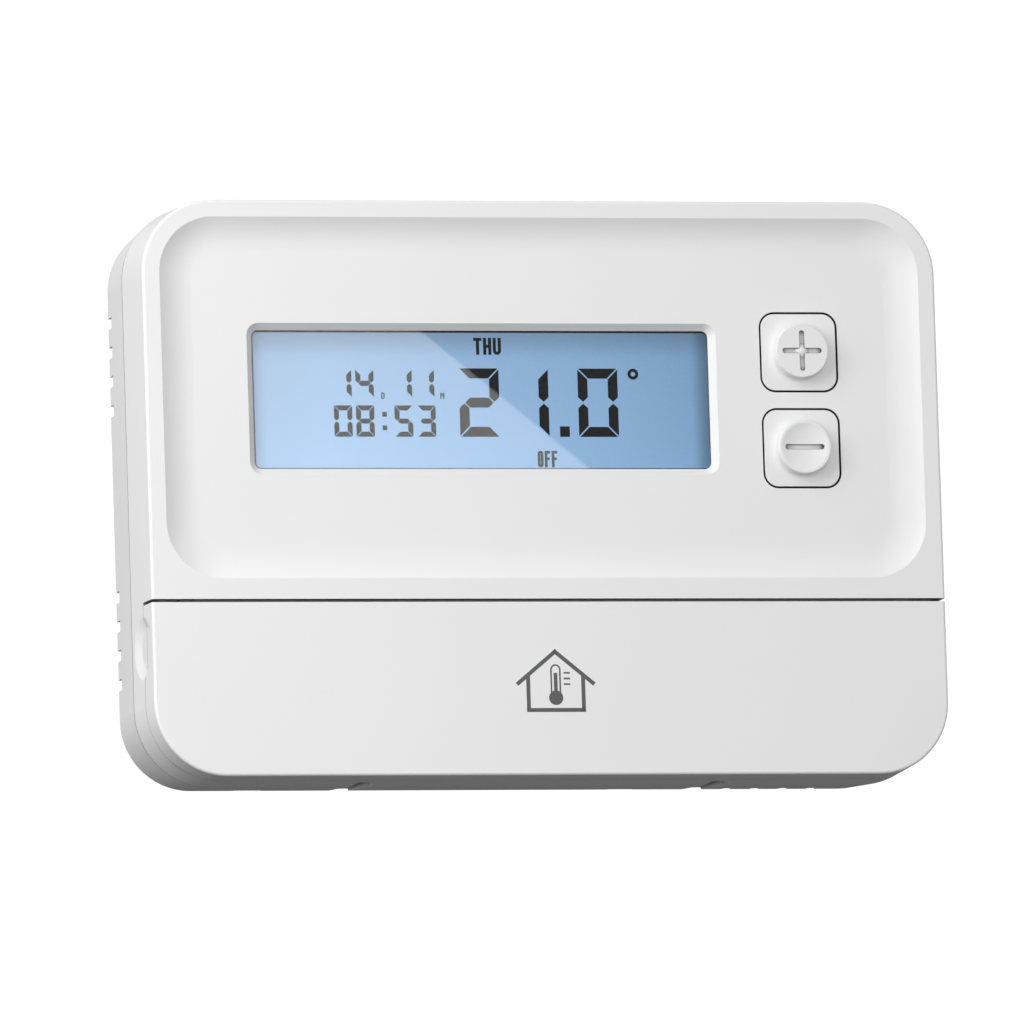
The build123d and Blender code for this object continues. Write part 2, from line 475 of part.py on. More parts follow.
CAP_TOP = FLOOR_H + CAP_RISE
for name, key_z in (("plus", PLUS_Z), ("minus", MINUS_Z)):
    plate = pressed_key(KEY_X, key_z, PAD, PAD, PAD_R, FLOOR_H, SKIN_H)
    with BuildPart() as front_key:
        add(plate)
        # round cap on a coved foot
        base_h = FLOOR_H - FOOT_LAP
        with BuildSketch(Plane(origin=(KEY_X, -base_h, key_z), x_dir=(1, 0, 0), z_dir=(0, 0, 1))):
            with BuildLine():
                rim = CAP_TOP - base_h
                foot, brow = CAP_R + FOOT_W, -FOOT_LAP - FOOT_RISE
                Polyline((0, 0), (foot, 0), (foot, -FOOT_LAP))
                near_foot = (CAP_R + FOOT_PULL * FOOT_W, -FOOT_LAP)
                near_cap = (CAP_R, -FOOT_LAP - FOOT_PULL * FOOT_RISE)
                Bezier((foot, -FOOT_LAP), near_foot, near_cap, (CAP_R, brow))
                Polyline((CAP_R, brow), (CAP_R, -rim + CAP_EDGE), (CAP_R - CAP_EDGE, -rim))
                if name == "minus":
                    # dished top inside a narrow rim
                    dish_r = CAP_R - CAP_RIM
                    Line((CAP_R - CAP_EDGE, -rim), (dish_r, -rim))
                    ThreePointArc(
                        (dish_r, -rim), (dish_r / 2, -rim + 0.8 * CAP_DISH), (0, -rim + CAP_DISH),
                    )
                    Line((0, -rim + CAP_DISH), (0, 0))
                else:
                    Polyline((CAP_R - CAP_EDGE, -rim), (0, -rim), (0, 0))
            make_face()
        revolve(axis=Axis((KEY_X, 0, key_z), (0, 1, 0)))
        if name == "minus":
            slot_mark(KEY_X, key_z, 0, CAP_TOP - MINUS_MARK_D, CAP_TOP + CUT)
        else:
            for angle in (0, 90):
                slot_mark(KEY_X, key_z, angle, CAP_TOP - PLUS_MARK_D, CAP_TOP + CUT)
            # the grooves' floor rises to the middle
            with BuildSketch(Plane(origin=(KEY_X, -CAP_TOP, key_z), x_dir=(1, 0, 0), z_dir=(0, 0, 1))):
                with BuildLine():
                    Polyline((CROWN_R, CROWN_EDGE), (0, CROWN_ROOT), (0, CROWN_TOP))
                    ThreePointArc((0, CROWN_TOP), (CROWN_R / 2, CROWN_MID), (CROWN_R, CROWN_EDGE))
                make_face()
            revolve(axis=Axis((KEY_X, 0, key_z), (0, 1, 0)))
    front_key.part.label = f"{name}_key"
    export_step(front_key.part, f"parts/{name}_key.step")

for name, key_x in LOWER_KEYS.items():
    with BuildPart() as lower_key:
        add(pressed_key(key_x, LOWER_KEY_Z, LOWER_W, LOWER_T, LOWER_R, LOWER_TOP_H, TRAY_TOP))
    lower_key.part.label = f"{name}_key"
    export_step(lower_key.part, f"parts/{name}_key.step")

SWITCHES = {"plus": (KEY_X, PLUS_Z), "minus": (KEY_X, MINUS_Z)}
SWITCHES.update({name: (key_x, LOWER_KEY_Z) for name, key_x in LOWER_KEYS.items()})
for name, (x, z) in SWITCHES.items():
    with BuildPart() as stem:
        disc(x, z, STEM_R, STEM_BASE, STEM_TOP)
        chamfer(stem.faces().sort_by(Axis.Y)[0].edges(), STEM_CHAMFER)
    stem.part.label = f"{name}_stem"
    export_step(stem.part, f"parts/{name}_stem.step")

with BuildPart() as switch_bodies:
    for x, z in SWITCHES.values():
        half = SWITCH_W / 2
        slab(x - half, x + half, z - half, z + half, BOARD_FRONT, SWITCH_TOP)
        disc(x, z, STEM_BORE_R, STEM_BORE_BASE, SWITCH_TOP + CUT, mode=Mode.SUBTRACT)
switch_bodies.part.label = "switch_bodies"
export_step(switch_bodies.part, "parts/switch_bodies.step")

# ---------------------------------------------------------------- board and electronics
with BuildPart() as main_board:
    slab(-BOARD_HALF_W, BOARD_HALF_W, BOARD_STEP, BOARD_TOP, BOARD_REAR, BOARD_FRONT)
    slab(BOARD_TONGUE_X, BOARD_HALF_W, BOARD_BOTTOM, BOARD_STEP, BOARD_REAR, BOARD_FRONT)
    fillet(main_board.edges().filter_by(Axis.Y), BOARD_CORNER_R)
    for x, z in POSTS:
        disc(x, z, SCREW_R + SCREW_CLEAR, 0, DEPTH, mode=Mode.SUBTRACT)
main_board.part.label = "main_board"
export_step(main_board.part, "parts/main_board.step")

with BuildPart() as board_screws:
    for x, z in POSTS:
        disc(x, z, SCREW_HEAD_R, BOARD_REAR - SCREW_HEAD_T, BOARD_REAR)
        disc(x, z, SCREW_R, BOARD_REAR - SCREW_HEAD_T / 2, BOARD_REAR + SCREW_L)
        for half_x, half_z in ((CROSS_L / 2, CROSS_W / 2), (CROSS_W / 2, CROSS_L / 2)):
            slab(x - half_x, x + half_x, z - half_z, z + half_z,
                 BOARD_REAR - SCREW_HEAD_T - CUT, BOARD_REAR - SCREW_HEAD_T + CROSS_D, mode=Mode.SUBTRACT)
board_screws.part.label = "board_screws"
export_step(board_screws.part, "parts/board_screws.step")

CELL_BASE = CELL_TOP - CELL_T
GUIDE_TOP = CELL_BASE - GUIDE_GAP
with BuildPart() as lcd_cell:
    slab(CELL_X0, CELL_X1, CELL_Z0, CELL_Z1, CELL_TOP - CELL_T / 2, CELL_TOP)
    slab(CELL_X0, CELL_X1, CELL_Z0 + CELL_LEDGE, CELL_Z1, CELL_BASE, CELL_TOP - CELL_T / 2)
lcd_cell.part.label = "lcd_cell"
export_step(lcd_cell.part, "parts/lcd_cell.step")

with BuildPart() as lcd_holder:
    slab(CELL_X0 - HOLDER_SIDE, CELL_X1 + HOLDER_SIDE, CELL_Z0 - HOLDER_END, CELL_Z1 + HOLDER_END,
         BOARD_FRONT, CELL_TOP + HOLDER_LIP)
    slab(CELL_X0 - HOLDER_CLEAR, CELL_X1 + HOLDER_CLEAR, CELL_Z0 - HOLDER_CLEAR, CELL_Z1 + HOLDER_CLEAR,
         GUIDE_TOP, CELL_TOP + CUT, mode=Mode.SUBTRACT)
    slab(CELL_X0 + HOLDER_SEAT, CELL_X1 - HOLDER_SEAT, CELL_Z0 + HOLDER_LIP, CELL_Z1 - HOLDER_SEAT,
         BOARD_FRONT, CELL_TOP, mode=Mode.SUBTRACT)
lcd_holder.part.label = "lcd_holder"
export_step(lcd_holder.part, "parts/lcd_holder.step")

with BuildPart() as light_guide:
    slab(CELL_X0 + GUIDE_INSET, CELL_X1 - GUIDE_INSET, CELL_Z0 + GUIDE_FOOT, CELL_Z1 - GUIDE_INSET,
         GUIDE_TOP - GUIDE_T, GUIDE_TOP)
light_guide.part.label = "light_guide"
export_step(light_guide.part, "parts/light_guide.step")

with BuildPart() as backlight_leds:
    led_x1 = CELL_X1 - LED_INSET
    for z in LED_Z:
        slab(led_x1 - LED_W, led_x1, z - LED_L / 2, z + LED_L / 2, BOARD_FRONT, BOARD_FRONT + LED_T)
backlight_leds.part.label = "backlight_leds"
export_step(backlight_leds.part, "parts/backlight_leds.step")

with BuildPart() as zebra_strip:
    slab(CELL_X0 + ZEBRA_INSET, CELL_X1 - ZEBRA_INSET, CELL_Z0 + ZEBRA_Z0, CELL_Z0 + ZEBRA_Z1,
         BOARD_FRONT, CELL_BASE)
zebra_strip.part.label = "zebra_strip"
export_step(zebra_strip.part, "parts/zebra_strip.step")

def on_board(x0, x1, z0, z1, thickness):
    """Block against the rear of the board, for use inside a part."""
    slab(x0, x1, z0, z1, BOARD_REAR - thickness, BOARD_REAR)


with BuildPart() as controller_chip:
    on_board(*CONTROLLER)
    chip_x0, chip_x1, chip_z0, chip_z1, _ = CONTROLLER
    first_leg = (chip_z0 + chip_z1 - LEG_W - LEG_PITCH * (LEGS - 1)) / 2
    for i in range(LEGS):
        z = first_leg + LEG_PITCH * i
        on_board(chip_x0 - LEG_L, chip_x0, z, z + LEG_W, LEG_T)
        on_board(chip_x1, chip_x1 + LEG_L, z, z + LEG_W, LEG_T)
controller_chip.part.label = "controller_chip"
export_step(controller_chip.part, "parts/controller_chip.step")

with BuildPart() as driver_chip:
    on_board(*DRIVER)
driver_chip.part.label = "driver_chip"
export_step(driver_chip.part, "parts/driver_chip.step")

with BuildPart() as clock_crystal:
    bar(CRYSTAL_X0, CRYSTAL_X1, BOARD_REAR - CRYSTAL_R - CRYSTAL_LIFT, CRYSTAL_Z, CRYSTAL_R)
clock_crystal.part.label = "clock_crystal"
export_step(clock_crystal.part, "parts/clock_crystal.step")

with BuildPart() as capacitors:
    for x in CAPACITOR_X:
        disc(x, CAPACITOR_Z, CAPACITOR_R, BOARD_REAR - CAPACITOR_L, BOARD_REAR)
capacitors.part.label = "capacitors"
export_step(capacitors.part, "parts/capacitors.step")

with BuildPart() as chip_resistors:
    for column in range(5):
        for row in range(2):
            x = RESISTOR_X + RESISTOR_PITCH_X * column
            z = RESISTOR_Z + RESISTOR_PITCH_Z * row
            on_board(x, x + RESISTOR_W, z, z + RESISTOR_H, RESISTOR_T)
chip_resistors.part.label = "chip_resistors"
export_step(chip_resistors.part, "parts/chip_resistors.step")

with BuildPart() as relay:
    on_board(*RELAY)
    fillet(relay.edges().filter_by(Axis.Y), RELAY_R)
relay.part.label = "relay"
export_step(relay.part, "parts/relay.step")

with BuildPart() as temperature_sensor:
    slab(BEAD_X - BEAD_HALF, BEAD_X + BEAD_HALF, BEAD_Z - BEAD_HALF, BEAD_Z + BEAD_HALF,
         BEAD_H - BEAD_HALF, BEAD_H + BEAD_HALF)
    fillet(temperature_sensor.edges(), BEAD_R)
    for x in (BEAD_X - (LEAD_PITCH + LEAD_W) / 2, BEAD_X + (LEAD_PITCH - LEAD_W) / 2):
        slab(x, x + LEAD_W, LEAD_FOOT, LEAD_BEND_Z, BEAD_H - LEAD_W / 2, BEAD_H + LEAD_W / 2)
        slab(x, x + LEAD_W, LEAD_BEND_Z - LEAD_W, LEAD_BEND_Z, BEAD_H, BOARD_REAR)
temperature_sensor.part.label = "temperature_sensor"
export_step(temperature_sensor.part, "parts/temperature_sensor.step")

# ---------------------------------------------------------------- batteries
TRAY_X0, TRAY_X1 = BAY_X0 - TRAY_WALL, BAY_X1 + TRAY_WALL
with BuildPart() as battery_tray:
    slab(TRAY_X0, TRAY_X1, LOWER_CELL_Z - CRADLE_R - TRAY_WALL, UPPER_CELL_Z + CRADLE_R + TRAY_WALL,
         TRAY_REAR, TRAY_TOP)
    for z in (LOWER_CELL_Z, UPPER_CELL_Z):
        bar(BAY_X0, BAY_X1, CELL_H, z, CRADLE_R, mode=Mode.SUBTRACT)
        slab(BAY_X0, BAY_X1, z - CRADLE_R, z + CRADLE_R, CELL_H, DEPTH, mode=Mode.SUBTRACT)
    bar(-SPAN / 2, SPAN / 2, HINGE_H, HINGE_Z, TROUGH_R + TROUGH_T + PLATE_CLEAR, mode=Mode.SUBTRACT)
    # room for the contact plates
    room = PLATE_HALF + PLATE_CLEAR
    for x0, x1 in ((BAY_X0, BAY_X0 + PLATE_T + PLATE_CLEAR), (BAY_X1 - PLATE_T - PLATE_CLEAR, BAY_X1)):
        slab(x0, x1, LOWER_CELL_Z - room, UPPER_CELL_Z + room, CELL_H - room, DEPTH, mode=Mode.SUBTRACT)
    # slots for the tabs that lead to the board
    slot_half = TAB_HALF_W + PLATE_CLEAR
    for z in (LOWER_CELL_Z, UPPER_CELL_Z):
        slab(BAY_X1 - CUT, TRAY_X1 + CUT, z - slot_half, z + slot_half,
             BOARD_FRONT - TAB_CLEAR, BOARD_FRONT + TAB_T + TAB_CLEAR, mode=Mode.SUBTRACT)
battery_tray.part.label = "battery_tray"
export_step(battery_tray.part, "parts/battery_tray.step")

# each cell: its body, and the nub that faces the way it points
for name, z, points in (("upper_cell", UPPER_CELL_Z, 1), ("lower_cell", LOWER_CELL_Z, -1)):
    tip = BAY_X1 - PLATE_T if points > 0 else BAY_X0 + PLATE_T
    shoulder = tip - points * NUB_L
    rear = shoulder - points * CELL_BODY
    with BuildPart() as battery:
        bar(min(shoulder, rear), max(shoulder, rear), CELL_H, z, CELL_R)
        fillet(battery.edges().filter_by(GeomType.CIRCLE), CELL_EDGE_R)
        bar(min(tip, shoulder), max(tip, shoulder), CELL_H, z, NUB_R)
    battery.part.label = name
    export_step(battery.part, f"parts/{name}.step")

with BuildPart() as battery_springs:
    spring_l = BAY_X1 - BAY_X0 - 2 * PLATE_T - NUB_L - CELL_BODY
    for base, turn, z in ((BAY_X0 + PLATE_T, 90, UPPER_CELL_Z), (BAY_X1 - PLATE_T, -90, LOWER_CELL_Z)):
        rise = spring_l - 2 * WIRE_R
        start = base + (1 if turn > 0 else -1) * WIRE_R
        coil = Pos(start, -CELL_H, z) * Rot(0, turn, 0) * Helix(
            rise / COIL_TURNS, rise, COIL_R, cone_angle=COIL_CONE,
        )
        with BuildSketch(Plane(origin=coil @ 0, z_dir=coil % 0)) as wire:
            Circle(WIRE_R)
        sweep(wire.sketch, path=coil, is_frenet=True)
battery_springs.part.label = "battery_springs"
export_step(battery_springs.part, "parts/battery_springs.step")

# one plate joins the two cells at the left; two plates lead to the board at the right
with BuildPart() as battery_bridge:
    slab(BAY_X0, BAY_X0 + PLATE_T, LOWER_CELL_Z - PLATE_HALF, UPPER_CELL_Z + PLATE_HALF,
         CELL_H - PLATE_HALF, CELL_H + PLATE_HALF)
battery_bridge.part.label = "battery_bridge"
export_step(battery_bridge.part, "parts/battery_bridge.step")

with BuildPart() as battery_contacts:
    for z in (LOWER_CELL_Z, UPPER_CELL_Z):
        slab(BAY_X1 - PLATE_T, BAY_X1, z - PLATE_HALF, z + PLATE_HALF,
             CELL_H - PLATE_HALF, CELL_H + PLATE_HALF)
        slab(BAY_X1 - PLATE_T, TRAY_X1 + TAB_L, z - TAB_HALF_W, z + TAB_HALF_W,
             BOARD_FRONT, BOARD_FRONT + TAB_T)
battery_contacts.part.label = "battery_contacts"
export_step(battery_contacts.part, "parts/battery_contacts.step")

# ---------------------------------------------------------------- wiring side
TERMINAL_X = [TERMINAL_PITCH * (i - (TERMINALS - 1) / 2) for i in range(TERMINALS)]
TERMINAL_HALF = TERMINALS * TERMINAL_PITCH / 2 + TERMINAL_END
TERMINAL_MID = (TERMINAL_Z0 + TERMINAL_Z1) / 2
CLAMP_Z0, CLAMP_Z1 = TERMINAL_Z0 + CLAMP_INSET, TERMINAL_Z1 - CLAMP_INSET
with BuildPart() as terminal_block:
    slab(-TERMINAL_HALF, TERMINAL_HALF, TERMINAL_Z0, TERMINAL_Z1, WALL, TERMINAL_TOP)
    fillet(terminal_block.edges().filter_by(Axis.Y), TERMINAL_EDGE_R)
    for x in TERMINAL_X:
        # wire way from below, clamp space, screw way from the front
        slab(x - WIRE_HALF_W, x + WIRE_HALF_W, TERMINAL_Z0 - CUT, CLAMP_Z0, WIRE_H0, WIRE_H1,
             mode=Mode.SUBTRACT)
        slab(x - CLAMP_HALF_W, x + CLAMP_HALF_W, CLAMP_Z0, CLAMP_Z1, CLAMP_H0, CLAMP_H1,
             mode=Mode.SUBTRACT)
        disc(x, TERMINAL_MID, SCREW_WAY_R, CLAMP_H1 - CLAMP_CLEAR, TERMINAL_TOP + CUT,
             mode=Mode.SUBTRACT)
    # rib between neighbours
    for x in TERMINAL_X[:-1]:
        rib_x = x + TERMINAL_PITCH / 2
        slab(rib_x - RIB_HALF_W, rib_x + RIB_HALF_W, TERMINAL_Z0, TERMINAL_Z1,
             TERMINAL_TOP, TERMINAL_TOP + RIB_RISE)
terminal_block.part.label = "terminal_block"
export_step(terminal_block.part, "parts/terminal_block.step")

with BuildPart() as terminal_clamps:
    for x in TERMINAL_X:
        half = CLAMP_HALF_W - CLAMP_CLEAR
        base, top = CLAMP_H0 + CLAMP_CLEAR, CLAMP_H1 - 2 * CLAMP_CLEAR
        slab(x - half, x + half, CLAMP_Z0 + CLAMP_CLEAR, CLAMP_Z1 - CLAMP_CLEAR, base, top)
        slab(x - half + CLAMP_T, x + half - CLAMP_T, CLAMP_Z0 - CUT, CLAMP_Z1 + CUT,
             base + CLAMP_T, WIRE_H1, mode=Mode.SUBTRACT)
        disc(x, TERMINAL_MID, CLAMP_BORE_R, TERMINAL_SCREW_H0 - CLAMP_CLEAR, top + CUT,
             mode=Mode.SUBTRACT)
terminal_clamps.part.label = "terminal_clamps"
export_step(terminal_clamps.part, "parts/terminal_clamps.step")

with BuildPart() as terminal_screws:
    for x in TERMINAL_X:
        head_top = TERMINAL_HEAD_H0 + TERMINAL_HEAD_T
        disc(x, TERMINAL_MID, TERMINAL_SCREW_R, TERMINAL_SCREW_H0, TERMINAL_HEAD_H0 + CLAMP_CLEAR)
        disc(x, TERMINAL_MID, TERMINAL_HEAD_R, TERMINAL_HEAD_H0, head_top)
        slab(x - SCREW_WAY_R, x + SCREW_WAY_R, TERMINAL_MID - SLOT_HALF_W, TERMINAL_MID + SLOT_HALF_W,
             head_top - SLOT_D, head_top + CUT, mode=Mode.SUBTRACT)
terminal_screws.part.label = "terminal_screws"
export_step(terminal_screws.part, "parts/terminal_screws.step")

PIN_X = [(SOCKET_X0 + SOCKET_X1) / 2 + PIN_PITCH * (i - (PINS - 1) / 2) for i in range(PINS)]
PIN_Z = (SOCKET_Z0 + SOCKET_Z1) / 2
with BuildPart() as base_socket:
    slab(SOCKET_X0, SOCKET_X1, SOCKET_Z0, SOCKET_Z1, WALL, SOCKET_TOP)
    for x in PIN_X:
        slab(x - BORE_HALF, x + BORE_HALF, PIN_Z - BORE_HALF, PIN_Z + BORE_HALF,
             SOCKET_TOP - BORE_DEPTH, SOCKET_TOP + CUT, mode=Mode.SUBTRACT)
base_socket.part.label = "base_socket"
export_step(base_socket.part, "parts/base_socket.step")

with BuildPart() as board_pins:
    on_board(SOCKET_X0, SOCKET_X1, SOCKET_Z0, SOCKET_Z1, HEADER_T)
    for x in PIN_X:
        slab(x - PIN_HALF, x + PIN_HALF, PIN_Z - PIN_HALF, PIN_Z + PIN_HALF,
             SOCKET_TOP - PIN_REACH, BOARD_REAR)
board_pins.part.label = "board_pins"
export_step(board_pins.part, "parts/board_pins.step")
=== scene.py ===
"""Looks of a wall-mounted programmable room thermostat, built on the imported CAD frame.

Lengths are in metres, in the frame of the part: origin at the centre of the wall face, +X right seen
from the room, +Z up, front towards -Y.
"""

import math

import bmesh
import bpy
from mathutils import Matrix, Vector


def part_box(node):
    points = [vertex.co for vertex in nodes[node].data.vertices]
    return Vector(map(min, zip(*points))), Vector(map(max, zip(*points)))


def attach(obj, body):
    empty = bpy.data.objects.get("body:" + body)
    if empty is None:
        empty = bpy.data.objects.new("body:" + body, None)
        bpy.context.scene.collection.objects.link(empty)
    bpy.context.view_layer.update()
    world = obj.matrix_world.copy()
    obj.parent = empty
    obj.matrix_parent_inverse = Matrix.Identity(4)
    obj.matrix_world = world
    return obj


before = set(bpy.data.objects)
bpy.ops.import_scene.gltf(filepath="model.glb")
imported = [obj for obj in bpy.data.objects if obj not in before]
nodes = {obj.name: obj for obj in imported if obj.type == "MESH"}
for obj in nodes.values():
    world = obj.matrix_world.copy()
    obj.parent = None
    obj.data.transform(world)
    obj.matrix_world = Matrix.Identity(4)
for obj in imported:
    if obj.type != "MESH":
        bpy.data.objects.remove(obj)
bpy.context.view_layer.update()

MM = 0.001

# ---------------------------------------------------------------- camera, light and stage
VIEW_AZIMUTH = -14.69      # degrees; 0 looks along +Y
VIEW_ELEVATION = -6.88
VIEW_ROLL = -1.80
VIEW_DISTANCE = 3.116
VIEW_TARGET = Vector((0.94, 0.0, -0.705)) * MM
LENS_MM, SENSOR_MM = 685.0, 36.0

ROOM_LIGHT = 0.292         # radiance of the studio at the horizon
ROOM_SLOPE = 0.292         # how much brighter it is overhead, and darker underfoot
# softboxes: degrees to the left of the front and above it, distance, width and height (m), watts
KEY_BOX = (50.0, 23.0, 0.50, 0.30, 0.42, 1.56)
SIDE_BOX = (80.0, 1.0, 0.50, 0.30, 0.34, 0.54)
FILL_BOX = (-60.0, 0.0, 0.50, 0.30, 0.30, 0.12)
# front panel: a square turned on its corner, one edge of which shows in the window
PANEL_DISTANCE, PANEL_SIZE, PANEL_TURN, PANEL_EDGE, PANEL_WATTS = 2.0, 1.5, 51.0, 0.5346, 13.5
FLOOR_Z, FLOOR_HALF, FLOOR_GLOW = -3.4, 20.0, 0.45
BACKDROP_LIGHT = 1.05      # radiance of the backdrop that the camera sees
CLIP_NEAR, CLIP_FAR = 0.05, 100.0


def make_camera():
    azimuth, elevation = math.radians(VIEW_AZIMUTH), math.radians(VIEW_ELEVATION)
    back = Vector((
        math.sin(azimuth) * math.cos(elevation),
        -math.cos(azimuth) * math.cos(elevation),
        math.sin(elevation),
    ))
    data = bpy.data.cameras.new("camera")
    data.lens = LENS_MM
    data.sensor_width = SENSOR_MM
    data.clip_start, data.clip_end = CLIP_NEAR, CLIP_FAR
    camera = bpy.data.objects.new("camera", data)
    camera.location = VIEW_TARGET + back * VIEW_DISTANCE
    look = (-back).to_track_quat("-Z", "Y").to_matrix()
    camera.rotation_euler = (look @ Matrix.Rotation(math.radians(VIEW_ROLL), 3, "Z")).to_euler()
    bpy.context.scene.collection.objects.link(camera)
    bpy.context.scene.camera = camera


def make_world():
    """White backdrop; the light it sheds is bright overhead and falls away to nothing underfoot."""
    world = bpy.data.worlds.new("studio")
    bpy.context.scene.world = world
    world.use_nodes = True
    tree = world.node_tree
    tree.nodes.clear()
    coordinates = tree.nodes.new("ShaderNodeTexCoord")
    split = tree.nodes.new("ShaderNodeSeparateXYZ")
    slope = tree.nodes.new("ShaderNodeMath")
    slope.operation = "MULTIPLY_ADD"
    slope.inputs[1].default_value = ROOM_SLOPE
    slope.inputs[2].default_value = ROOM_LIGHT
    light = tree.nodes.new("ShaderNodeBackground")
    backdrop = tree.nodes.new("ShaderNodeBackground")
    path = tree.nodes.new("ShaderNodeLightPath")
    mix = tree.nodes.new("ShaderNodeMixShader")
    out = tree.nodes.new("ShaderNodeOutputWorld")
    tree.links.new(coordinates.outputs["Generated"], split.inputs[0])
    tree.links.new(split.outputs["Z"], slope.inputs[0])
    tree.links.new(slope.outputs[0], light.inputs["Strength"])
    tree.links.new(path.outputs["Is Camera Ray"], mix.inputs[0])
    tree.links.new(light.outputs[0], mix.inputs[1])
    tree.links.new(backdrop.outputs[0], mix.inputs[2])
    tree.links.new(mix.outputs[0], out.inputs[0])
    light.inputs["Color"].default_value = (1, 1, 1, 1)
    backdrop.inputs["Color"].default_value = (1, 1, 1, 1)
    backdrop.inputs["Strength"].default_value = BACKDROP_LIGHT


def area_light(name, width, height, watts):
    data = bpy.data.lights.new(name, "AREA")
    data.shape = "RECTANGLE"
    data.size, data.size_y = width, height
    data.energy = watts
    light = bpy.data.objects.new(name, data)
    light.visible_camera = False
    bpy.context.scene.collection.objects.link(light)
    return light


def softbox(name, left, above, distance, width, height, watts):
    """Light aimed at the origin from the room side."""
    left, above = math.radians(left), math.radians(above)
    light = area_light(name, width, height, watts)
    light.location = distance * Vector((
        -math.sin(left) * math.cos(above), -math.cos(left) * math.cos(above), math.sin(above),
    ))
    light.rotation_euler = (-light.location).to_track_quat("-Z", "Y").to_euler()


def front_panel():
    """Flat light parallel to the wall, turned so that one edge runs down to the right."""
    turn = math.radians(PANEL_TURN)
    light = area_light("front_panel", PANEL_SIZE, PANEL_SIZE, PANEL_WATTS)
    out = PANEL_EDGE - PANEL_SIZE / 2
    light.location = (out * math.cos(turn), -PANEL_DISTANCE, out * math.sin(turn))
    light.rotation_euler = (math.radians(90), -turn, 0)


def make_floor():
    """Pale floor far below the object; it shows to the camera but sheds no light on the object."""
    data = bpy.data.meshes.new("floor")
    corners = [(x * FLOOR_HALF, y * FLOOR_HALF, FLOOR_Z) for x, y in ((-1, -1), (1, -1), (1, 1), (-1, 1))]
    data.from_pydata(corners, [], [(0, 1, 2, 3)])
    floor = bpy.data.objects.new("floor", data)
    bpy.context.scene.collection.objects.link(floor)
    material = bpy.data.materials.new("floor")
    material.use_nodes = True
    shader = material.node_tree.nodes["Principled BSDF"]
    shader.inputs["Base Color"].default_value = (0.8, 0.8, 0.8, 1.0)
    shader.inputs["Roughness"].default_value = 0.9
    shader.inputs["Emission Color"].default_value = (1.0, 1.0, 1.0, 1.0)
    shader.inputs["Emission Strength"].default_value = FLOOR_GLOW
    data.materials.append(material)
    floor.visible_diffuse = floor.visible_glossy = False


make_camera()
make_world()
softbox("key_softbox", *KEY_BOX)
softbox("side_softbox", *SIDE_BOX)
softbox("fill_softbox", *FILL_BOX)
front_panel()
make_floor()
bpy.context.scene.view_settings.view_transform = "Standard"


# ---------------------------------------------------------------- material kit
class Paint:
    """A node material being built: one Principled shader and what feeds it."""

    def __init__(self, name):
        self.material = bpy.data.materials.new(name)
        self.material.use_nodes = True
        self.tree = self.material.node_tree
        self.shader = self.tree.nodes["Principled BSDF"]
        self.coordinates = self.node("ShaderNodeTexCoord").outputs["Object"]

    def node(self, kind, **values):
        made = self.tree.nodes.new(kind)
        for key, value in values.items():
            setattr(made, key, value)
        return made

    def link(self, source, target):
        self.tree.links.new(source, target)

    def feed(self, value, socket):
        """Link a socket, or set a plain value."""
        if isinstance(value, bpy.types.NodeSocket):
            self.link(value, socket)
        else:
            socket.default_value = value

    def math(self, operation, a, b):
        made = self.node("ShaderNodeMath", operation=operation)
        for socket, value in zip(made.inputs, (a, b)):
            self.feed(value, socket)
        return made.outputs[0]

    def noise(self, per_mm, detail=3.0, roughness=0.5, stretch=(1, 1, 1)):
        """Noise with about per_mm features in a millimetre, mostly between 0.3 and 0.7."""
        mapping = self.node("ShaderNodeMapping")
        mapping.inputs["Scale"].default_value = stretch
        self.link(self.coordinates, mapping.inputs["Vector"])
        made = self.node("ShaderNodeTexNoise")
        made.inputs["Scale"].default_value = per_mm / MM
        made.inputs["Detail"].default_value = detail
        made.inputs["Roughness"].default_value = roughness
        self.link(mapping.outputs[0], made.inputs["Vector"])
        return made.outputs["Fac"]

    def remap(self, value, low, high, to_low, to_high, smooth=False):
        made = self.node("ShaderNodeMapRange")
        made.interpolation_type = "SMOOTHSTEP" if smooth else "LINEAR"
        for key, number in (
            ("From Min", low), ("From Max", high), ("To Min", to_low), ("To Max", to_high),
        ):
            made.inputs[key].default_value = number
        self.link(value, made.inputs["Value"])
        return made.outputs[0]

    def mix(self, factor, a, b, blend="MIX"):
        made = self.node("ShaderNodeMix", data_type="RGBA", blend_type=blend)
        self.feed(factor, made.inputs["Factor"])
        self.feed(rgba(a), made.inputs["A"])
        self.feed(rgba(b), made.inputs["B"])
        return made.outputs["Result"]

    def split(self):
        made = self.node("ShaderNodeSeparateXYZ")
        self.link(self.coordinates, made.inputs[0])
        return made.outputs["X"], made.outputs["Y"], made.outputs["Z"]

    def between(self, value, low, high, soft=0.05 * MM):
        """1 between two places along an axis, 0 outside."""
        up = self.remap(value, low - soft, low + soft, 0.0, 1.0)
        down = self.remap(value, high - soft, high + soft, 1.0, 0.0)
        return self.math("MULTIPLY", up, down)

    def bump(self, height, depth_mm):
        made = self.node("ShaderNodeBump")
        made.inputs["Distance"].default_value = depth_mm * MM
        made.inputs["Strength"].default_value = 1.0
        self.link(height, made.inputs["Height"])
        self.link(made.outputs[0], self.shader.inputs["Normal"])

    def painted_gap_shade(self, reach_mm, closed, open_):
        """Painted shade for narrow gaps and creases: 1 where the surface is open, falling to 0 deep in a
        narrow gap.
        """
        made = self.node("ShaderNodeAmbientOcclusion", samples=12)
        made.inputs["Distance"].default_value = reach_mm * MM
        return self.remap(made.outputs["AO"], closed, open_, 0.0, 1.0)

    def grey(self, value):
        """The value as a neutral colour."""
        made = self.node("ShaderNodeCombineColor")
        for socket in made.inputs[:3]:
            self.link(value, socket)
        return made.outputs[0]

    def set(self, **values):
        for key, value in values.items():
            self.feed(value, self.shader.inputs[key.replace("_", " ")])


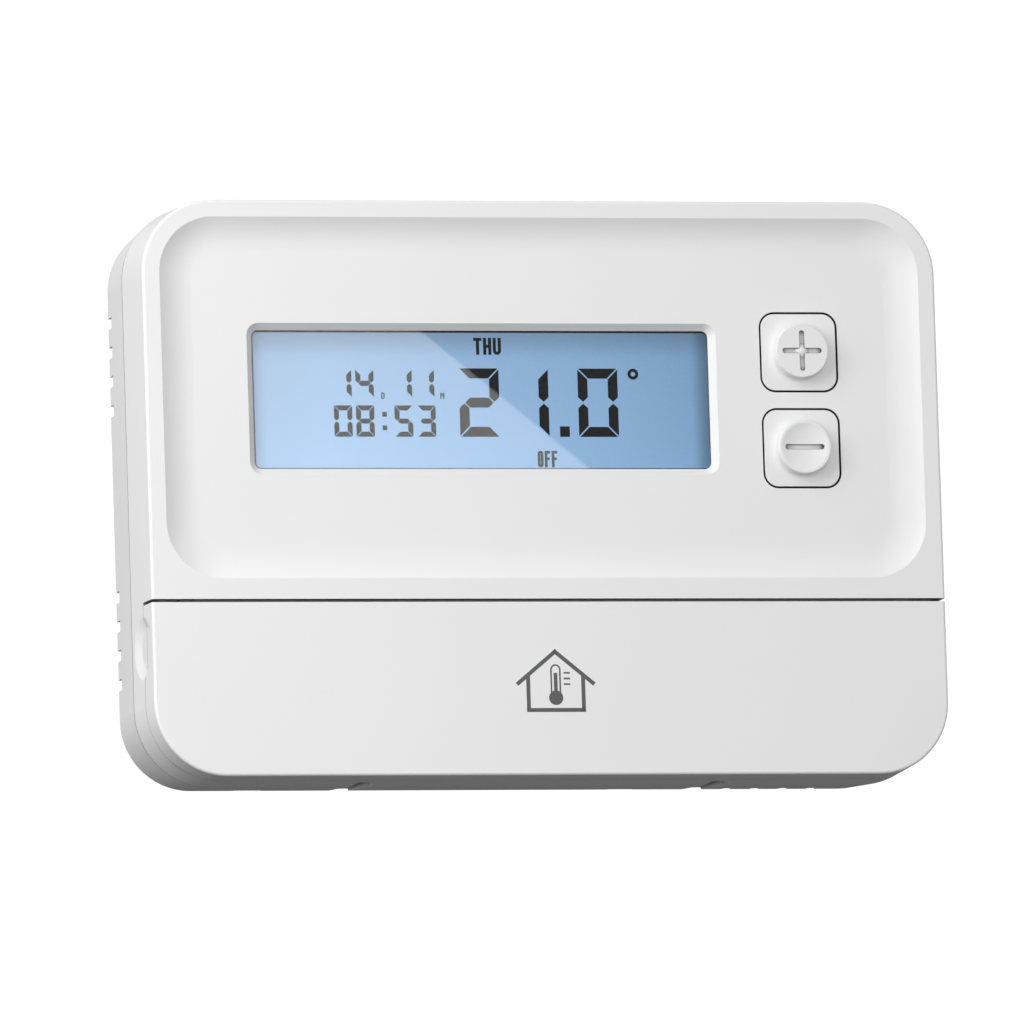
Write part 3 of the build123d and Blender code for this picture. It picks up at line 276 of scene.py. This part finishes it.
def rgba(colour):
    """Colour with its alpha, or a socket as it is."""
    if isinstance(colour, bpy.types.NodeSocket):
        return colour
    return (*colour, 1.0)[:4]


GRAIN_DEPTH_MM = 0.004
TINT = 0.02                # how much the shade of moulded plastic varies
BROAD_PER_MM = 0.03
# reach and strength of the painted shade in narrow gaps and creases
GAP_SHADE_REACH_MM, GAP_SHADE_CLOSED, GAP_SHADE_OPEN = 0.8, 0.25, 0.86


def moulded(name, colour, roughness=0.42, grain_mm=0.16, painted_gap_shade=True):
    """Moulded plastic: spark-eroded grain, slight random variation of tone, and painted shade darkening its
    colour in narrow gaps and creases.
    """
    paint = Paint(name)
    grain = paint.noise(1.0 / grain_mm, detail=2.0, roughness=0.6)
    broad = paint.noise(BROAD_PER_MM, detail=2.0)
    shade = paint.remap(broad, 0.3, 0.7, 1.0 - TINT, 1.0)
    fine = paint.remap(grain, 0.3, 0.7, 1.0 - TINT * 0.6, 1.0)
    total = paint.math("MULTIPLY", shade, fine)
    # painted shade: the colour is darkened where ambient occlusion finds a narrow gap or crease
    if painted_gap_shade:
        total = paint.math("MULTIPLY", total, paint.painted_gap_shade(GAP_SHADE_REACH_MM, GAP_SHADE_CLOSED, GAP_SHADE_OPEN))
    paint.set(Base_Color=paint.mix(1.0, colour, paint.grey(total), "MULTIPLY"))
    paint.set(Roughness=paint.remap(grain, 0.3, 0.7, roughness - 0.05, roughness + 0.05))
    paint.bump(grain, GRAIN_DEPTH_MM)
    return paint.material


# ---------------------------------------------------------------- materials
CASE_WHITE = (0.83, 0.83, 0.83)


def window_material():
    paint = Paint("clear_window")
    smear = paint.noise(0.08, detail=3.0)
    paint.set(Base_Color=(1.0, 1.0, 1.0, 1.0), IOR=1.46, Transmission_Weight=1.0)
    paint.set(Roughness=paint.remap(smear, 0.5, 0.8, 0.0, 0.008))
    return paint.material


# display colour along its width: place from left (0) to right (1), then the colour
LCD_SHADES = (
    (0.0, (0.345, 0.515, 0.740)),
    (0.15, (0.362, 0.552, 0.790)),
    (0.5, (0.297, 0.485, 0.735)),
    (0.78, (0.248, 0.424, 0.660)),
    (1.0, (0.195, 0.352, 0.565)),
)


# widths of the strips of painted bezel shadow along the display's edges
LCD_LEFT_SHADOW, LCD_RIGHT_SHADOW, LCD_TOP_SHADOW = 2.5 * MM, 3.0 * MM, 5.0 * MM


def lcd_material(x0, x1, z0, z1):
    """Backlit glass: blue, a little brighter at the left and bottom, with a painted shadow of the window's
    bezel along its edges.
    """
    paint = Paint("lcd_backlit")
    x, _, z = paint.split()
    across = paint.remap(x, x0, x1, 0.0, 1.0)
    ramp = paint.node("ShaderNodeValToRGB")
    stops = ramp.color_ramp.elements
    stops[0].color, stops[1].color = rgba(LCD_SHADES[0][1]), rgba(LCD_SHADES[-1][1])
    for place, colour in LCD_SHADES[1:-1]:
        stops.new(place).color = rgba(colour)
    paint.link(across, ramp.inputs[0])
    # painted shadow of the window's bezel along the left, right and top edges
    left = paint.remap(x, x0, x0 + LCD_LEFT_SHADOW, 0.68, 1.0, True)
    right = paint.remap(x, x1 - LCD_RIGHT_SHADOW, x1, 1.0, 0.50, True)
    top = paint.remap(z, z1 - LCD_TOP_SHADOW, z1, 1.0, 0.68, True)
    rise = paint.remap(z, z0, z1, 1.07, 0.90)
    cells = paint.remap(paint.noise(2.2, detail=1.0), 0.3, 0.7, 0.985, 1.015)
    total = left
    for factor in (right, top, rise, cells):
        total = paint.math("MULTIPLY", total, factor)
    glow = paint.mix(1.0, ramp.outputs[0], paint.grey(total), "MULTIPLY")
    paint.set(Base_Color=(0.004, 0.006, 0.010, 1.0), Roughness=0.5, Specular_IOR_Level=0.0)
    paint.set(Emission_Color=glow, Emission_Strength=1.0)
    return paint.material


def ink_and_painted_shadow_material(name, colour, roughness=0.5, gloss=0.5):
    """Flat dark finish for printed ink and dark display segments, also used for the painted bezel shadow round
    the display.
    """
    paint = Paint(name)
    grain = paint.noise(6.0, detail=2.0)
    deep = tuple(0.82 * c for c in colour)
    paint.set(Base_Color=paint.mix(paint.remap(grain, 0.35, 0.65, 0.0, 1.0), deep, colour))
    paint.set(Roughness=roughness, Specular_IOR_Level=gloss)
    paint.bump(grain, 0.0015)
    return paint.material


def metal_material(name, colour, roughness, brushed=(1, 1, 1)):
    paint = Paint(name)
    scratches = paint.noise(6.0, detail=3.0, stretch=brushed)
    dull = tuple(0.8 * c for c in colour)
    paint.set(Base_Color=paint.mix(paint.remap(scratches, 0.35, 0.65, 0.0, 1.0), dull, colour))
    paint.set(Metallic=1.0, Roughness=paint.remap(scratches, 0.3, 0.7, roughness * 0.7, roughness * 1.3))
    paint.bump(scratches, 0.002)
    return paint.material


def board_material():
    """Green solder resist with paler tracks showing through."""
    paint = Paint("green_board")
    voronoi = paint.node("ShaderNodeTexVoronoi", feature="DISTANCE_TO_EDGE", distance="MANHATTAN")
    voronoi.inputs["Scale"].default_value = 0.35 / MM
    voronoi.inputs["Randomness"].default_value = 0.7
    paint.link(paint.coordinates, voronoi.inputs["Vector"])
    tracks = paint.remap(voronoi.outputs["Distance"], 0.04, 0.07, 1.0, 0.0)
    paint.set(Base_Color=paint.mix(tracks, (0.012, 0.10, 0.035), (0.03, 0.21, 0.08)))
    paint.set(Roughness=paint.remap(paint.noise(1.0), 0.3, 0.7, 0.25, 0.4))
    paint.bump(tracks, 0.02)
    return paint.material


# places along a cell, from its positive shoulder: ends of the sleeve, copper band and pale stripe
SLEEVE_ENDS = (0.35 * MM, 43.3 * MM)
BAND_ENDS = (0.4 * MM, 11.0 * MM)
STRIPE_ENDS = (11.6 * MM, 12.2 * MM)


def battery_material(name, shoulder_x, direction):
    """Printed sleeve with a copper band, steel at both ends. direction is +1 when the nub is at +X."""
    paint = Paint(name)
    x, _, _ = paint.split()
    along = paint.math("MULTIPLY", paint.math("SUBTRACT", shoulder_x, x), float(direction))
    band = paint.between(along, *BAND_ENDS)
    stripe = paint.between(along, *STRIPE_ENDS)
    steel = paint.math("SUBTRACT", 1.0, paint.between(along, *SLEEVE_ENDS))
    grain = paint.noise(3.0, detail=3.0, stretch=(0.2, 1, 1))
    sleeve = paint.mix(paint.remap(grain, 0.3, 0.7, 0.0, 1.0), (0.018, 0.020, 0.024), (0.030, 0.033, 0.040))
    coloured = paint.mix(band, sleeve, (0.62, 0.33, 0.13))
    coloured = paint.mix(stripe, coloured, (0.75, 0.75, 0.76))
    paint.set(Base_Color=paint.mix(steel, coloured, (0.62, 0.62, 0.63)))
    paint.set(Metallic=paint.math("MAXIMUM", steel, paint.math("MULTIPLY", band, 0.7)))
    paint.set(Roughness=paint.remap(grain, 0.3, 0.7, 0.22, 0.34))
    paint.bump(grain, 0.003)
    return paint.material


def assign(node, material):
    data = nodes[node].data
    data.materials.clear()
    data.materials.append(material)


case_white = moulded("case_white", CASE_WHITE)
base_white = moulded("base_white", (0.81, 0.81, 0.81), roughness=0.48)
door_white = moulded("door_white", CASE_WHITE)
key_white = moulded("key_white", (0.82, 0.82, 0.82), roughness=0.4, grain_mm=0.12)
key_grey = moulded("key_grey", (0.30, 0.31, 0.33), roughness=0.45)
tray_white = moulded("tray_white", (0.70, 0.70, 0.69), roughness=0.5)
natural_plastic = moulded("natural_plastic", (0.72, 0.71, 0.66), roughness=0.5, painted_gap_shade=False)
moulded_black = moulded("moulded_black", (0.035, 0.035, 0.038), roughness=0.5, painted_gap_shade=False)
relay_blue = moulded("relay_blue", (0.03, 0.09, 0.30), roughness=0.35, painted_gap_shade=False)
terminal_green = moulded("terminal_green", (0.06, 0.30, 0.12), roughness=0.45, painted_gap_shade=False)
elastomer = moulded("elastomer", (0.62, 0.36, 0.30), roughness=0.7, painted_gap_shade=False)
led_cream = moulded("led_cream", (0.80, 0.78, 0.62), roughness=0.3, painted_gap_shade=False)
guide_acrylic = moulded("guide_acrylic", (0.55, 0.70, 0.86), roughness=0.15, painted_gap_shade=False)
ceramic_chip = moulded("ceramic_chip", (0.10, 0.085, 0.07), roughness=0.4, painted_gap_shade=False)
zinc_steel = metal_material("zinc_steel", (0.66, 0.67, 0.68), 0.32)
drawn_can = metal_material("drawn_can", (0.74, 0.75, 0.77), 0.25, brushed=(1, 0.05, 1))
nickel_spring = metal_material("nickel_spring", (0.72, 0.71, 0.68), 0.22, brushed=(1, 1, 0.1))
plated_brass = metal_material("plated_brass", (0.72, 0.56, 0.28), 0.3)
green_board = board_material()

# window opening in millimetres
WINDOW_X0, WINDOW_X1 = -46.93, 27.87
WINDOW_Z0, WINDOW_Z1 = 3.30, 25.40

FINISHES = {
    "front_case": case_white,
    "rear_case": base_white,
    "door": door_white,
    "window_lens": window_material(),
    "lcd_cell": lcd_material(WINDOW_X0 * MM, WINDOW_X1 * MM, WINDOW_Z0 * MM, WINDOW_Z1 * MM),
    "lcd_holder": natural_plastic,
    "light_guide": guide_acrylic,
    "backlight_leds": led_cream,
    "zebra_strip": elastomer,
    "main_board": green_board,
    "controller_chip": moulded_black,
    "driver_chip": moulded_black,
    "clock_crystal": drawn_can,
    "capacitors": drawn_can,
    "chip_resistors": ceramic_chip,
    "relay": relay_blue,
    "temperature_sensor": moulded_black,
    "board_screws": zinc_steel,
    "switch_bodies": moulded_black,
    "battery_tray": tray_white,
    "battery_springs": nickel_spring,
    "battery_bridge": nickel_spring,
    "battery_contacts": nickel_spring,
    "terminal_block": terminal_green,
    "terminal_screws": zinc_steel,
    "terminal_clamps": plated_brass,
    "base_socket": moulded_black,
    "board_pins": moulded_black,
    "plus_key": key_white,
    "minus_key": key_white,
}
LOWER_KEYS = ("menu", "select", "advance", "boost")
for key in LOWER_KEYS:
    FINISHES[f"{key}_key"] = key_grey
for key in ("plus", "minus") + LOWER_KEYS:
    FINISHES[f"{key}_stem"] = moulded_black
NUB = 0.8 * MM             # how far a cell's positive cap stands out
upper_box, lower_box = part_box("upper_cell"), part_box("lower_cell")
FINISHES["upper_cell"] = battery_material("upper_cell_sleeve", upper_box[1].x - NUB, 1)
FINISHES["lower_cell"] = battery_material("lower_cell_sleeve", lower_box[0].x + NUB, -1)
for node, finish in FINISHES.items():
    assign(node, finish)
SHARP_ANGLE = math.radians(28)
for part in nodes.values():
    part.data.shade_smooth()
    part.data.set_sharp_from_angle(angle=SHARP_ANGLE)


# ---------------------------------------------------------------- flat marks: display segments and print
PLATE_STEP = 0.0004 * MM


def plate_object(name, outlines, height, thickness, material, body):
    """Thin plates facing the room at a height off the wall; outlines are lists of (x, z) in millimetres.

    Each plate is a hair thicker than the one before, so that overlapping ones have no face in common.
    """
    mesh = bmesh.new()
    for index, outline in enumerate(outlines):
        front = height + thickness + index * PLATE_STEP
        base = [mesh.verts.new((x * MM, -height, z * MM)) for x, z in outline]
        top = [mesh.verts.new((x * MM, -front, z * MM)) for x, z in outline]
        mesh.faces.new(base)
        mesh.faces.new(list(reversed(top)))
        count = len(outline)
        for i in range(count):
            j = (i + 1) % count
            mesh.faces.new((base[j], base[i], top[i], top[j]))
    bmesh.ops.recalc_face_normals(mesh, faces=mesh.faces)
    data = bpy.data.meshes.new(name)
    mesh.to_mesh(data)
    mesh.free()
    made = bpy.data.objects.new(name, data)
    bpy.context.scene.collection.objects.link(made)
    data.materials.append(material)
    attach(made, body)


def moved(outline, x, z):
    return [(px + x, pz + z) for px, pz in outline]


# which segments each character lights: a top, b and c right, d bottom, e and f left, g middle
SEGMENTS = {
    "0": "abcdef", "1": "bc", "2": "abdeg", "3": "abcdg", "4": "bcfg", "5": "acdfg", "8": "abcdefg",
}


def seven_segment(character, width, height, bar, gap):
    """Outlines of a seven-segment character with its lower left corner at (0, 0)."""
    w, h, t, g = width, height, bar, gap / 2
    half, m = h / 2, bar / 2
    # shoulders of the pointed ends, above and below the middle
    upper, lower = half + 0.9 * m + g, half - 0.9 * m - g
    shapes = {
        "a": [(g, h), (w - g, h), (w - t - g, h - t), (t + g, h - t)],
        "d": [(g, 0), (t + g, t), (w - t - g, t), (w - g, 0)],
        "f": [(0, h - g), (t, h - t - g), (t, upper), (m, half + g), (0, upper)],
        "b": [(w, h - g), (w, upper), (w - m, half + g), (w - t, upper), (w - t, h - t - g)],
        "e": [(0, g), (0, lower), (m, half - g), (t, lower), (t, t + g)],
        "c": [(w, g), (w - t, t + g), (w - t, lower), (w - m, half - g), (w, lower)],
        "g": [(m + g, half), (t + g, half + m), (w - t - g, half + m), (w - m - g, half),
              (w - t - g, half - m), (t + g, half - m)],
    }
    return [shapes[s] for s in SEGMENTS[character]]


def block(x0, x1, z0, z1):
    return [(x0, z0), (x1, z0), (x1, z1), (x0, z1)]


def round_point(x, z, radius, degrees):
    """The point at an angle on a circle round (x, z)."""
    angle = math.radians(degrees)
    return x + radius * math.cos(angle), z + radius * math.sin(angle)


def disc(x, z, radius, sides=24):
    return [round_point(x, z, radius, 360 * i / sides) for i in range(sides)]


def arc_band(x, z, outer, inner, start, end, steps=10):
    """Part of a flat ring, between two angles in degrees, as a row of quads."""
    angles = [start + (end - start) * i / steps for i in range(steps + 1)]
    return [
        [round_point(x, z, outer, a), round_point(x, z, outer, b),
         round_point(x, z, inner, b), round_point(x, z, inner, a)]
        for a, b in zip(angles, angles[1:])
    ]


def ring(x, z, outer, inner):
    return arc_band(x, z, outer, inner, 0, 360, steps=32)


def capital(letter, w, h, t):
    """Outlines of a narrow capital with its lower left corner at (0, 0), from strokes t wide."""
    r = min(w / 2, 1.6 * t)
    left, right = block(0, t, 0, h), block(w - t, w, 0, h)
    bottom_turn = (
        arc_band(r, r, r, r - t, 180, 270) + arc_band(w - r, r, r, r - t, 270, 360)
        + [block(r, w - r, 0, t)]
    )
    top_turn = (
        arc_band(r, h - r, r, r - t, 90, 180) + arc_band(w - r, h - r, r, r - t, 0, 90)
        + [block(r, w - r, h - t, h)]
    )
    if letter == "T":
        return [block(0, w, h - t, h), block((w - t) / 2, (w + t) / 2, 0, h - t)]
    if letter == "H":
        return [left, right, block(t, w - t, (h - t) / 2, (h + t) / 2)]
    if letter == "U":
        return [block(0, t, r, h), block(w - t, w, r, h)] + bottom_turn
    if letter == "O":
        return [block(0, t, r, h - r), block(w - t, w, r, h - r)] + bottom_turn + top_turn
    if letter == "F":
        return [left, block(t, w, h - t, h), block(t, 0.85 * w, h * 0.5 - t * 0.4, h * 0.5 + t * 0.6)]
    if letter == "D":
        bars = [left, block(t, w - r, h - t, h), block(t, w - r, 0, t), block(w - t, w, r, h - r)]
        return bars + arc_band(w - r, h - r, r, r - t, 0, 90) + arc_band(w - r, r, r, r - t, 270, 360)
    if letter == "M":
        return [left, right, [(t, h), (t, h - 1.4 * t), (w / 2, h * 0.35), (w / 2, h * 0.35 + 1.4 * t)],
                [(w - t, h), (w / 2, h * 0.35 + 1.4 * t), (w / 2, h * 0.35), (w - t, h - 1.4 * t)]]
    raise ValueError(letter)


def word(letters, x0, x1, z0, z1, stroke, gap):
    """Capitals set evenly in a box."""
    width = (x1 - x0 - gap * (len(letters) - 1)) / len(letters)
    shapes = []
    for i, letter in enumerate(letters):
        for outline in capital(letter, width, z1 - z0, stroke):
            shapes.append(moved(outline, x0 + i * (width + gap), z0))
    return shapes


# display content, in millimetres on the glass
BASELINE = 8.55
BIG = {"width": 6.55, "height": 10.95, "bar": 1.6, "gap": 0.30}
TIME = {"width": 2.97, "height": 5.0, "bar": 0.80, "gap": 0.14}
DATE = {"width": 2.97, "height": 4.45, "bar": 0.82, "gap": 0.14}
DATE_BASE = 14.86


def display_outlines():
    shapes = []
    for character, x in (("2", -12.95), ("1", -4.86), ("0", 6.55)):
        shapes += [moved(s, x, BASELINE) for s in seven_segment(character, **BIG)]
    shapes.append(block(3.42, 5.02, BASELINE, BASELINE + 1.68))
    shapes += ring(15.69, 18.62, 0.88, 0.38)
    for character, x in (("0", -33.53), ("8", -29.92), ("5", -23.62), ("3", -19.88)):
        shapes += [moved(s, x, BASELINE) for s in seven_segment(character, **TIME)]
    for z in (9.58, 11.75):
        shapes.append(block(-25.64, -24.90, z, z + 0.76))
    for character, x in (("1", -33.50), ("4", -29.88), ("1", -23.62), ("1", -19.97)):
        shapes += [moved(s, x, DATE_BASE) for s in seven_segment(character, **DATE)]
    shapes += word("D", -25.72, -25.17, 14.60, 15.62, 0.18, 0)
    shapes += word("M", -16.06, -15.38, 14.60, 15.60, 0.20, 0)
    shapes += word("THU", -10.37, -5.87, 21.68, 24.40, 0.50, 0.26)
    shapes += word("OFF", -0.38, 2.84, 3.68, 6.30, 0.42, 0.22)
    return shapes


SEGMENT_GAP, SEGMENT_T = 0.01 * MM, 0.02 * MM   # segments stand just off the glass
glass_height = -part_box("lcd_cell")[0].y
lcd_ink = ink_and_painted_shadow_material("lcd_segments", (0.002, 0.003, 0.005), 0.6, gloss=0.0)
plate_object("lcd_segments", display_outlines(), glass_height + SEGMENT_GAP, SEGMENT_T, lcd_ink,
             "housing")


# ---------------------------------------------------------------- painted bezel shadow round the display: a dark frame behind the lens
BEZEL_SHADOW_MARGIN = 0.4                             # how far it reaches behind the case, in millimetres
BEZEL_SHADOW_LEFT, BEZEL_SHADOW_RIGHT, BEZEL_SHADOW_BOTTOM, BEZEL_SHADOW_TOP = 0.38, -0.10, 0.22, 0.24   # what shows of its rails
BEZEL_SHADOW_OUTER_R, BEZEL_SHADOW_INNER_R = 1.05, 0.75
BEZEL_SHADOW_DROP, BEZEL_SHADOW_T = 0.06 * MM, 0.05 * MM    # its back below the lens, and its thickness


def rounded_loop(x0, x1, z0, z1, r, steps=6):
    """Points round a rectangle with corner radius r."""
    corners = ((x1 - r, z1 - r, 0), (x0 + r, z1 - r, 90), (x0 + r, z0 + r, 180), (x1 - r, z0 + r, 270))
    return [
        round_point(x, z, r, start + 90 * i / steps) for x, z, start in corners for i in range(steps + 1)
    ]


def frame_outlines(x0, x1, z0, z1, left, right, bottom, top):
    """A rectangular frame with rounded corners and four widths of rail, as a row of quads."""
    outer = rounded_loop(x0, x1, z0, z1, BEZEL_SHADOW_OUTER_R)
    inner = rounded_loop(x0 + left, x1 - right, z0 + bottom, z1 - top, BEZEL_SHADOW_INNER_R)
    count = len(outer)
    return [
        [outer[i], outer[(i + 1) % count], inner[(i + 1) % count], inner[i]] for i in range(count)
    ]


lens_rear = -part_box("window_lens")[1].y
# painted shadow of the window's bezel, made as a thin dark frame on the display's border
bezel_shadow = ink_and_painted_shadow_material("bezel_shadow_black", (0.012, 0.016, 0.022), 0.7, gloss=0.2)
bezel_shadow_frame = frame_outlines(
    WINDOW_X0 - BEZEL_SHADOW_MARGIN, WINDOW_X1 + BEZEL_SHADOW_MARGIN, WINDOW_Z0 - BEZEL_SHADOW_MARGIN, WINDOW_Z1 + BEZEL_SHADOW_MARGIN,
    BEZEL_SHADOW_MARGIN + BEZEL_SHADOW_LEFT, BEZEL_SHADOW_MARGIN + BEZEL_SHADOW_RIGHT,
    BEZEL_SHADOW_MARGIN + BEZEL_SHADOW_BOTTOM, BEZEL_SHADOW_MARGIN + BEZEL_SHADOW_TOP,
)
plate_object("window_bezel_shadow", bezel_shadow_frame, lens_rear - BEZEL_SHADOW_DROP, BEZEL_SHADOW_T, bezel_shadow, "housing")

# ---------------------------------------------------------------- print on the door, keys and panel
PRINT_SINK, PRINT_T = 0.01 * MM, 0.03 * MM      # a print's back is just under the surface
SIGN_X, SIGN_Z = 0.4, -30.85
PANEL_FACE = 22.8 * MM                          # panel behind the door, off the wall
print_grey = ink_and_painted_shadow_material("print_grey", (0.105, 0.105, 0.105), 0.5)
print_white = ink_and_painted_shadow_material("print_white", (0.72, 0.72, 0.72), 0.5)
print_dark = ink_and_painted_shadow_material("print_dark", (0.06, 0.06, 0.065), 0.5)


def stroke(points, width):
    """A polyline as quads with squared ends, one for each run."""
    shapes = []
    for (xa, za), (xb, zb) in zip(points, points[1:]):
        length = math.hypot(xb - xa, zb - za)
        ux, uz = (xb - xa) / length * width / 2, (zb - za) / length * width / 2
        xa, za, xb, zb = xa - ux, za - uz, xb + ux, zb + uz
        shapes.append([(xa - uz, za + ux), (xb - uz, zb + ux), (xb + uz, zb - ux), (xa + uz, za - ux)])
    return shapes


def home_sign(x, z):
    """House outline with a thermometer in it, about 13 mm wide and 10 mm tall."""
    line, bulb_z, tube_x = 0.62, z - 2.75, 0.72
    shapes = stroke([(x - 6.1, z - 0.4), (x, z + 4.6), (x + 6.1, z - 0.4)], line)
    shapes += stroke([(x - 4.5, z + 0.6), (x - 4.5, z - 4.7), (x + 4.5, z - 4.7), (x + 4.5, z + 0.6)], line)
    shapes += [disc(x, bulb_z, 1.15)] + ring(x, bulb_z, 1.15, 0.95)
    shapes += [block(x - 0.28, x + 0.28, bulb_z, z + 1.2)]
    for side in (-1, 1):
        shapes += stroke([(x + side * tube_x, bulb_z + 0.9), (x + side * tube_x, z + 1.7)], 0.22)
    shapes += arc_band(x, z + 1.75, 0.83, 0.61, 0, 180)
    for i in range(3):
        shapes.append(block(x + 1.35, x + 2.35, z - 0.7 + 0.9 * i, z - 0.46 + 0.9 * i))
    return shapes


door_face = -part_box("door")[0].y
plate_object("door_sign", home_sign(SIGN_X, SIGN_Z), door_face - PRINT_SINK, PRINT_T, print_grey,
             "door")


def key_signs(x, z):
    """One sign for each key behind the door, centred on it."""
    menu = [block(-1.5, 1.5, d - 0.2, d + 0.2) for d in (-1.0, 0.0, 1.0)]
    tick = stroke([(-1.4, 0.0), (-0.4, -1.0), (1.5, 1.1)], 0.45)
    arrows = [[(-1.6, -1.2), (-1.6, 1.2), (0.0, 0.0)], [(0.0, -1.2), (0.0, 1.2), (1.6, 0.0)]]
    clock = ring(0, 0, 1.5, 1.15) + stroke([(0, 0.9), (0, 0), (0.65, 0)], 0.3)
    signs = {"menu": menu, "select": tick, "advance": arrows, "boost": clock}
    return {name: [moved(s, x[name], z) for s in shapes] for name, shapes in signs.items()}


key_centres = {}
for key in LOWER_KEYS:
    low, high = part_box(f"{key}_key")
    key_centres[key] = (low.x + high.x) / 2 / MM
    key_face, key_z = -low.y, (low.z + high.z) / 2 / MM
for key, shapes in key_signs(key_centres, key_z).items():
    plate_object(f"{key}_sign", shapes, key_face - PRINT_SINK, PRINT_T, print_white, key)

# polarity marks beside the battery opening: half the length and half the width of a bar
MARK_X, PLUS_Z, MINUS_Z = -5.4, -23.1, -34.0
BAR_L, BAR_W = 1.2, 0.3
polarity = [
    block(MARK_X - BAR_L, MARK_X + BAR_L, PLUS_Z - BAR_W, PLUS_Z + BAR_W),
    block(MARK_X - BAR_W, MARK_X + BAR_W, PLUS_Z - BAR_L, PLUS_Z + BAR_L),
    block(MARK_X - BAR_L, MARK_X + BAR_L, MINUS_Z - BAR_W, MINUS_Z + BAR_W),
]
plate_object("polarity_marks", polarity, PANEL_FACE - PRINT_SINK, PRINT_T, print_dark, "housing")
